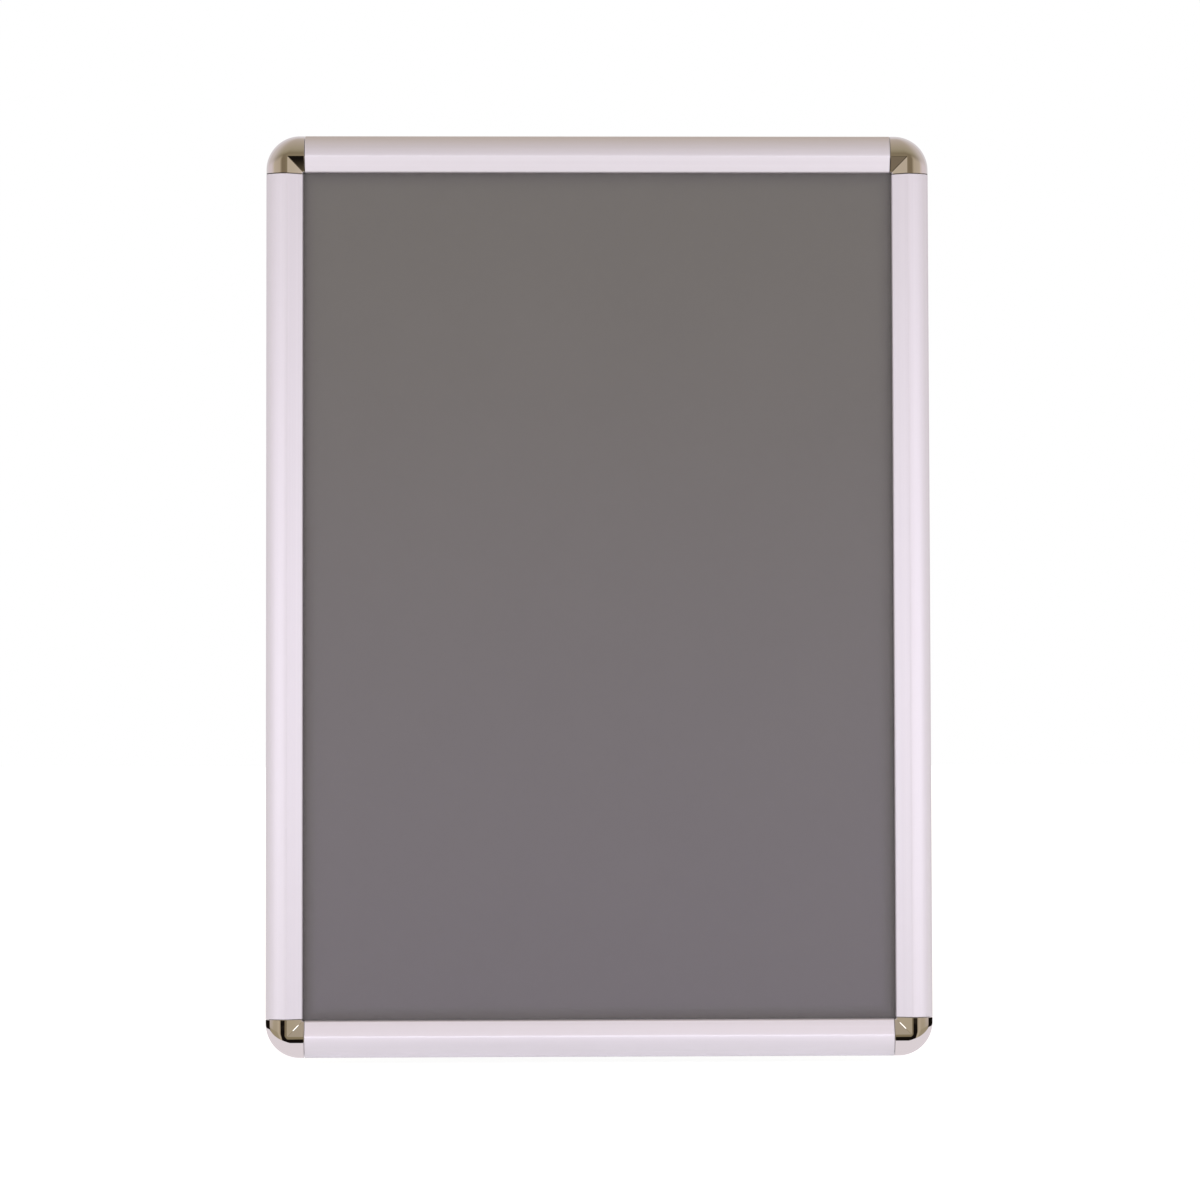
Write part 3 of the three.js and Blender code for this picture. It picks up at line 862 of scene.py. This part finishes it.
# %% The corner's rule
CORNER_LENGTH = 26 * MM
CORNER_RADIUS = 23 * MM
CREASE_RADIUS = 0.5 * MM
BOW_STEPS = 40
BAR_STEPS = BOW_STEPS + 2


def corner_radius(u):
    return max(CREASE_RADIUS, CORNER_RADIUS * (1 - u / CREST_U))


def bend_round_corner(point):
    u = point.z
    step = point.x * BAR_STEPS
    radius = corner_radius(u)
    if step < 0.5:
        return Vector((CORNER_LENGTH, point.y, u))
    if step > BAR_STEPS - 0.5:
        return Vector((u, point.y, CORNER_LENGTH))
    angle = -QUARTER - QUARTER * (step - 1) / BOW_STEPS
    centre = u + radius
    return Vector((centre + radius * math.cos(angle), point.y, centre + radius * math.sin(angle)))


print("radius at the edge", corner_radius(0) / MM, "and at the crest", corner_radius(CREST_U) / MM)

# %% The cap's boss
BOSS_RADIUS = 2.4 * MM
BOSS_HOLE_RADIUS = 1.8 * MM
BOSS_FOOT_W = 3.9 * MM
BOSS_HOLE_TOP_W = 9.1 * MM
BOSS_TOP_W = 10.4 * MM
ROUND_STEPS = 40
cap_screw_low, cap_screw_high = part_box("cap_screw_bottom_left")
boss_at = ((cap_screw_low + cap_screw_high) / 2).x - working_low.x


def turn_on_lathe(mesh, profile):
    points = [mesh.verts.new((radius, -w, 0)) for radius, w in profile]
    edges = [mesh.edges.new(pair) for pair in zip(points, points[1:])]
    bmesh.ops.spin(
        mesh,
        geom=points + edges,
        cent=(0, 0, 0),
        axis=(0, 1, 0),
        angle=math.tau,
        steps=ROUND_STEPS,
        use_merge=True,
    )
    bmesh.ops.remove_doubles(mesh, verts=mesh.verts, dist=SAME_POINT)


def add_boss(mesh):
    boss = bmesh.new()
    boss_profile = [
        (0, BOSS_HOLE_TOP_W),
        (BOSS_HOLE_RADIUS, BOSS_HOLE_TOP_W),
        (BOSS_HOLE_RADIUS, BOSS_FOOT_W),
        (BOSS_RADIUS, BOSS_FOOT_W),
        (BOSS_RADIUS, BOSS_TOP_W),
        (0, BOSS_TOP_W),
    ]
    turn_on_lathe(boss, boss_profile)
    bmesh.ops.translate(boss, verts=boss.verts, vec=(boss_at, 0, boss_at))
    lone = bpy.data.meshes.new("boss")
    boss.to_mesh(lone)
    boss.free()
    mesh.from_mesh(lone)
    bpy.data.meshes.remove(lone)


print("the boss stands", round(boss_at / MM, 2), "mm in from both edges")

# %% The cap's shell
CAP_EASE = 0.3 * MM


def cap_shell():
    pen = Pen(0, CAP_FOOT_W)
    draw_outer_side(pen, CAP_CREST_RADIUS)
    draw_inner_nose(pen, CAP_WALL)
    draw_inner_arch(pen, CAP_WALL, CREST_U, CAP_WALL, INNER_STEPS)
    pen.line(CAP_WALL, CAP_FOOT_W)
    mesh = pen.close()
    draw_out(mesh, 1)
    bmesh.ops.translate(mesh, verts=mesh.verts, vec=(0.5, 0, 0))
    lengthways = [edge for edge in mesh.edges if abs(edge.verts[0].co.x - edge.verts[1].co.x) > 0.5]
    bmesh.ops.subdivide_edges(mesh, edges=lengthways, cuts=BAR_STEPS - 1)
    for vert in mesh.verts:
        vert.co = bend_round_corner(vert.co)
    bmesh.ops.recalc_face_normals(mesh, faces=mesh.faces)
    return mesh


def is_end_rim(edge):
    first, last = (vert.co for vert in edge.verts)
    return any(
        max(abs(first[axis] - CORNER_LENGTH), abs(last[axis] - CORNER_LENGTH)) < SAME_POINT
        for axis in (0, 2)
    )


CORNERS = {
    "bottom_left": (Vector((working_low.x, 0, working_low.z)), 0),
    "top_left": (Vector((working_low.x, 0, working_high.z)), QUARTER),
    "top_right": (Vector((working_high.x, 0, working_high.z)), 2 * QUARTER),
    "bottom_right": (Vector((working_high.x, 0, working_low.z)), -QUARTER),
}
caps = []
for corner_name, (corner, angle) in CORNERS.items():
    mesh = cap_shell()
    ease_edges(mesh, CAP_EASE, wanted=is_end_rim)
    add_boss(mesh)
    put_in_place(mesh, corner, angle)
    cap = make_piece(mesh, f"{corner_name}_cap", f"corner_cap_{corner_name}", chrome)
    caps.append(cap)
    print(cap.name, "faces", len(cap.data.polygons))

# %% [markdown]
# Two small cards for the mitres
#
# The mitres of the lower caps catch a short bright line in the photograph. A mirror shows
# a light only where its slope points the right way, so the place of the light follows from
# the slope in the mitre: half way between the two facets. A small glowing card stands
# there. Only a mirror sees it, because it is see-through for every other ray.

# %% Two small cards for the mitres
CARD_DISTANCE = 150 * MM
CARD_LENGTH = 10 * MM
CARD_WIDTH = 80 * MM
CARD_GLOW = 3
MITRE_U = 21.5 * MM


def glowing_card():
    material = bpy.data.materials.new("glowing_card")
    material.use_nodes = True
    tree = material.node_tree
    tree.nodes.clear()
    ray = add_node(tree, "ShaderNodeLightPath").outputs
    clear = add_node(tree, "ShaderNodeBsdfTransparent")
    glow = add_node(tree, "ShaderNodeEmission", {"Color": WHITE, "Strength": CARD_GLOW})
    mixed = {0: ray["Is Singular Ray"], 1: clear.outputs[0], 2: glow.outputs[0]}
    mixed = add_node(tree, "ShaderNodeMixShader", mixed)
    add_node(tree, "ShaderNodeOutputMaterial", {"Surface": mixed.outputs[0]})
    return material


card_glow = glowing_card()
for side_name, corner_x, inwards in (("left", working_low.x, 1), ("right", working_high.x, -1)):
    fall = facet_fall(0)
    mitre_w = FRAME_DEPTH - (MITRE_U - CREST_U) * math.tan(fall)
    spot = Vector((corner_x + inwards * MITRE_U, -mitre_w, working_low.z + MITRE_U))
    slope = Vector((inwards * math.sin(fall), -2 * math.cos(fall), math.sin(fall))).normalized()
    sight = (camera.location - spot).normalized()
    towards_card = 2 * slope.dot(sight) * slope - sight
    mitre_line = Vector((inwards, math.tan(fall), 1)).normalized()
    across = towards_card.cross(mitre_line).normalized()
    along = across.cross(towards_card)
    card_mesh = bmesh.new()
    bmesh.ops.create_grid(card_mesh, x_segments=1, y_segments=1, size=0.5)
    bmesh.ops.scale(card_mesh, vec=(CARD_WIDTH, CARD_LENGTH, 1), verts=card_mesh.verts)
    facing = Matrix((across, along, -towards_card)).transposed().to_4x4()
    facing = Matrix.Translation(spot + towards_card * CARD_DISTANCE) @ facing
    bmesh.ops.transform(card_mesh, matrix=facing, verts=card_mesh.verts)
    card_data = bpy.data.meshes.new(f"{side_name}_card")
    card_mesh.to_mesh(card_data)
    card_mesh.free()
    card_data.materials.append(card_glow)
    card = bpy.data.objects.new(f"{side_name}_card", card_data)
    bpy.context.scene.collection.objects.link(card)
    print(card.name, "stands", [round(value, 3) for value in spot + towards_card * CARD_DISTANCE])

# %% [markdown]
# Light for everything but the caps
#
# A lamp can be told what it may light. We put the caps into a collection of their own and
# tell both soft boxes to leave it out. The upper box gets a collection that holds nothing
# but the bottom rail.

# %% Light for everything but the caps
unlit = bpy.data.collections.new("not_lit_by_soft_boxes")
for cap in caps:
    unlit.objects.link(cap)
for member in unlit.collection_objects:
    member.light_linking.link_state = "EXCLUDE"
for lamp in lamps:
    lamp.light_linking.receiver_collection = unlit
lit = bpy.data.collections.new("lit_by_upper_box")
lit.objects.link(bpy.data.objects["bottom_front_rail"])
upper_box.light_linking.receiver_collection = lit
print("kept off:", [cap.name for cap in caps])

# %% [markdown]
# Metals that stay inside
#
# The base rails are plain mill finish, greyer and streakier than the satin front. The
# corner keys are zinc plated, the springs are blued strip and the screws are bright zinc.
# One function makes them all from a colour, a gloss and the grain that fits.

# %% Other metals
def plain_metal(name, dark, light, gloss, grain, depth):
    material, tree, shader, place = start_material(name)
    grains = noise(tree, place, grain, detail=4)
    clouds = noise(tree, place, (60,) * 3, detail=3)
    fill(
        tree,
        shader,
        {
            "Base Color": blend_colours(tree, clouds, dark, light),
            "Metallic": 1.0,
            "Roughness": spread(tree, grains, *gloss),
            "Normal": bump(tree, grains, depth, 0.6),
        },
    )
    return material


mill = {
    along: plain_metal(
        f"mill_aluminium_{along.lower()}",
        (0.50, 0.50, 0.51, 1),
        (0.60, 0.60, 0.61, 1),
        (0.32, 0.46),
        line_scale(along, 1500),
        0.008 * MM,
    )
    for along in ("X", "Z")
}
zinc = plain_metal(
    "dull_zinc",
    (0.36, 0.365, 0.38, 1),
    (0.50, 0.505, 0.52, 1),
    (0.35, 0.55),
    (500,) * 3,
    0.01 * MM,
)
blued = plain_metal(
    "blued_steel",
    (0.13, 0.15, 0.19, 1),
    (0.22, 0.23, 0.26, 1),
    (0.25, 0.4),
    (1200,) * 3,
    0.004 * MM,
)
bright_zinc = plain_metal(
    "bright_zinc",
    (0.52, 0.53, 0.56, 1),
    (0.64, 0.64, 0.64, 1),
    (0.2, 0.32),
    (1500,) * 3,
    0.004 * MM,
)
print("made", [m.name for m in (*mill.values(), zinc, blued, bright_zinc)])

# %% [markdown]
# Base rails, springs and keys
#
# These parts already have their true shape. A copy of each is enough: its loose triangles
# are merged, flat areas become single faces again, and the sharp edges are eased.

# %% Base rails, springs and keys
FLAT_ANGLE = math.radians(0.5)
RAIL_EASE = 0.1 * MM
KEY_EASE = 0.15 * MM
SPRING_EASE = 0.08 * MM


def eased_copy(node, ease):
    mesh = bmesh.new()
    mesh.from_mesh(frame["nodes"][node].data)
    bmesh.ops.remove_doubles(mesh, verts=mesh.verts, dist=SAME_POINT)
    bmesh.ops.dissolve_limit(mesh, angle_limit=FLAT_ANGLE, verts=mesh.verts, edges=mesh.edges)
    ease_edges(mesh, ease)
    return mesh


for side, (_, _, along) in SIDES.items():
    node = f"base_rail_{side}"
    rail = make_piece(eased_copy(node, RAIL_EASE), f"{side}_base_rail", node, mill[along])
    springs = [name for name in frame["nodes"] if name.startswith(f"leaf_spring_{side}")]
    for name in springs:
        number = name.rsplit("_", 1)[1]
        make_piece(eased_copy(name, SPRING_EASE), f"{side}_leaf_spring_{number}", name, blued)
    print(rail.name, "and", len(springs), "springs")
for corner_name in CORNERS:
    node = f"corner_key_{corner_name}"
    make_piece(eased_copy(node, KEY_EASE), f"{corner_name}_key", node, zinc)
print("keys:", len(CORNERS))

# %% [markdown]
# The screws
#
# A screw is turned on a lathe: half of its outline is spun round its middle line. Its thread
# is drawn as rings, which look the same as a spiral at this size. The face towards the wall
# gets the driver's recess: a cross in the four cap screws, a hexagon in the eight set
# screws. The recess is an outline in the face, pushed in and narrowed a little.

# %% Making a screw
THREAD_PITCH = 0.5 * MM
THREAD_DEPTH = 0.2 * MM
CROSS_ARM = 1.5 * MM
CROSS_HALF_WIDTH = 0.36 * MM
CROSS_DEPTH = 1.1 * MM
HEX_RADIUS = 0.85 * MM
HEX_DEPTH = 1.3 * MM
RECESS_NARROWING = 0.7


def thread(radius, low_w, high_w):
    turns = int((high_w - low_w) / THREAD_PITCH)
    points = []
    for number in range(turns):
        w = low_w + number * THREAD_PITCH
        points.append((radius, w))
        points.append((radius - THREAD_DEPTH, w + THREAD_PITCH / 2))
    points.append((radius, low_w + turns * THREAD_PITCH))
    return points


def cross_outline():
    arm, half_width = CROSS_ARM, CROSS_HALF_WIDTH
    quarter = [(arm, -half_width), (arm, half_width), (half_width, half_width)]
    points = []
    for number in range(4):
        spun = Matrix.Rotation(number * QUARTER, 2)
        points += [spun @ Vector(point) for point in quarter]
    return points


def hexagon_outline():
    return [around(Vector((0, 0)), HEX_RADIUS, math.tau * number / 6) for number in range(6)]


def push_in_recess(mesh, face_w, outline, depth):
    rim = [edge for edge in mesh.edges if edge.is_boundary]
    points = [mesh.verts.new((point.x, -face_w, point.y)) for point in outline]
    loop = [mesh.edges.new((points[i - 1], points[i])) for i in range(len(points))]
    bmesh.ops.triangle_fill(mesh, use_beauty=True, edges=rim + loop)
    pushed = bmesh.ops.extrude_edge_only(mesh, edges=loop)["geom"]
    floor_points = [item for item in pushed if isinstance(item, bmesh.types.BMVert)]
    floor_edges = [item for item in pushed if isinstance(item, bmesh.types.BMEdge)]
    narrowed = (RECESS_NARROWING, 1, RECESS_NARROWING)
    bmesh.ops.scale(mesh, vec=narrowed, verts=floor_points)
    bmesh.ops.translate(mesh, vec=(0, -depth, 0), verts=floor_points)
    bmesh.ops.contextual_create(mesh, geom=floor_edges)


print("cross and hexagon ready:", len(cross_outline()), "and", len(hexagon_outline()), "points")

# %% The cap screws and the set screws
HEAD_RADIUS = 2.8 * MM
HEAD_HEIGHT = 1.3 * MM
HEAD_RIM = 0.15 * MM
CAP_SCREW_RADIUS = 1.5 * MM
CHAMFER = 0.3 * MM


def cap_screw_mesh(low_w, high_w):
    mesh = bmesh.new()
    profile = [(HEAD_RADIUS - HEAD_RIM, low_w), (HEAD_RADIUS, low_w + HEAD_RIM / 2)]
    profile += thread(CAP_SCREW_RADIUS, low_w + HEAD_HEIGHT, high_w - CHAMFER)
    profile += [(CAP_SCREW_RADIUS - CHAMFER, high_w), (0, high_w)]
    turn_on_lathe(mesh, profile)
    push_in_recess(mesh, low_w, cross_outline(), CROSS_DEPTH)
    return mesh


def set_screw_mesh(low_w, high_w, radius):
    mesh = bmesh.new()
    profile = [(radius - HEAD_RIM, low_w)]
    profile += thread(radius, low_w + HEAD_RIM, high_w - CHAMFER)
    profile += [(radius - CHAMFER, high_w), (0, high_w)]
    turn_on_lathe(mesh, profile)
    push_in_recess(mesh, low_w, hexagon_outline(), HEX_DEPTH)
    return mesh


for node in sorted(name for name in frame["nodes"] if "_screw_" in name):
    low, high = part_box(node)
    if node.startswith("cap"):
        mesh = cap_screw_mesh(-high.y, -low.y)
        name = node.replace("cap_screw", "cap_fastener")
    else:
        mesh = set_screw_mesh(-high.y, -low.y, (high.x - low.x) / 2)
        name = node.replace("set_screw", "set_fastener")
    middle = (low + high) / 2
    bmesh.ops.translate(mesh, verts=mesh.verts, vec=(middle.x, 0, middle.z))
    screw = make_piece(mesh, name, node, bright_zinc)
print("each screw has about", len(screw.data.polygons), "faces")

# %% [markdown]
# The back panel
#
# The panel is a sheet of matt grey plastic. Its surface has a fine grain and very slight
# clouds of lighter and darker grey. Light and shade are painted into its grey: darker and
# warmer at the top, lighter below, and darker along the rails' lips as painted shade. Some
# specks of dust lie on it. They come from a cell pattern in space: a speck shows where the
# middle of a cell happens to lie near the surface, so their sizes differ.

# %% The back panel
OPENING_HALF = (working_high - working_low).xz / 2 - Vector((RAIL_WIDTH, RAIL_WIDTH))
# The grey above, the grey below and the grey by the lips are painted light and shade, not the
# plastic's own colour.
SHADED_GREY_ABOVE = (0.148, 0.142, 0.134, 1)
LIT_GREY_BELOW = (0.179, 0.166, 0.200, 1)
PAINTED_LIP_SHADE = (0.100, 0.092, 0.092, 1)
GREY_CLOUDS = (0.25, 0.24, 0.24, 1)
DUST_COLOUR = (0.34, 0.34, 0.35, 1)
DUST_SHARE = 0.6
DUST_SCALE = 90
DUST_RADIUS = 0.35 * MM
PANEL_EASE = 0.12 * MM


def matt_grey():
    material, tree, shader, place = start_material("matt_grey_plastic")
    clouds = noise(tree, place, (7,) * 3, detail=3)
    grain = noise(tree, place, (1800,) * 3, detail=2)
    spot = add_node(tree, "ShaderNodeSeparateXYZ", {0: place}).outputs
    # Painted light: the grey is darker and warmer at the top and lighter and more lilac below, as
    # the studio light falls.
    rise = math_node(tree, "SUBTRACT", spot["Z"], frame_middle.z)
    lower = fade(tree, rise, 0.3, -0.3)
    colour = blend_colours(tree, lower, SHADED_GREY_ABOVE, LIT_GREY_BELOW)
    # Painted shade: the grey darkens towards the rails' lips, deepening the shade that the lips
    # cast on the panel.
    aside = math_node(tree, "SUBTRACT", OPENING_HALF.x, math_node(tree, "ABSOLUTE", spot["X"]))
    above = math_node(tree, "SUBTRACT", OPENING_HALF.y, math_node(tree, "ABSOLUTE", rise))
    from_lip = math_node(tree, "MINIMUM", aside, above)
    shade = fade(tree, from_lip, -3 * MM, 11 * MM)
    colour = blend_colours(tree, shade, PAINTED_LIP_SHADE, colour)
    cells = add_node(tree, "ShaderNodeTexVoronoi", {"Vector": place, "Scale": DUST_SCALE}).outputs
    dust = fade(tree, cells["Distance"], DUST_RADIUS * DUST_SCALE, 0.3 * DUST_RADIUS * DUST_SCALE)
    dust = math_node(tree, "MULTIPLY", dust, DUST_SHARE)
    colour = blend_colours(tree, dust, colour, DUST_COLOUR)
    colour = blend_colours(tree, spread(tree, clouds, 0.0, 0.06), colour, GREY_CLOUDS)
    fill(
        tree,
        shader,
        {
            "Base Color": colour,
            "Roughness": spread(tree, grain, 0.6, 0.75),
            "Specular IOR Level": 0.3,
            "Normal": bump(tree, grain, 0.01 * MM, 0.5),
        },
    )
    return material


panel = eased_copy("back_panel", PANEL_EASE)
panel = make_piece(panel, "grey_back_panel", "back_panel", matt_grey())
print(panel.name)

# %% [markdown]
# The clear cover
#
# A half-millimetre sheet of clear plastic lies over the poster's place. It is nearly
# invisible: it only adds a faint, soft sheen.

# %% The clear cover
CLEAR_COLOUR = (0.9, 0.91, 0.91, 1)
COVER_EASE = 0.08 * MM


def clear_sheet():
    material, tree, shader, place = start_material("clear_plastic")
    ripple = noise(tree, place, (14,) * 3, detail=2)
    fill(
        tree,
        shader,
        {
            "Base Color": CLEAR_COLOUR,
            "Roughness": 0.35,
            "Alpha": 0.05,
            "Normal": bump(tree, ripple, 0.05 * MM, 0.3),
        },
    )
    return material


cover = eased_copy("clear_cover", COVER_EASE)
cover = make_piece(cover, "clear_sheet", "clear_cover", clear_sheet())
print(cover.name)

# %% [markdown]
# The picture's colours
#
# The picture is shown as its colours are written, without a film look.

# %% The picture's colours
bpy.context.scene.view_settings.view_transform = "Standard"
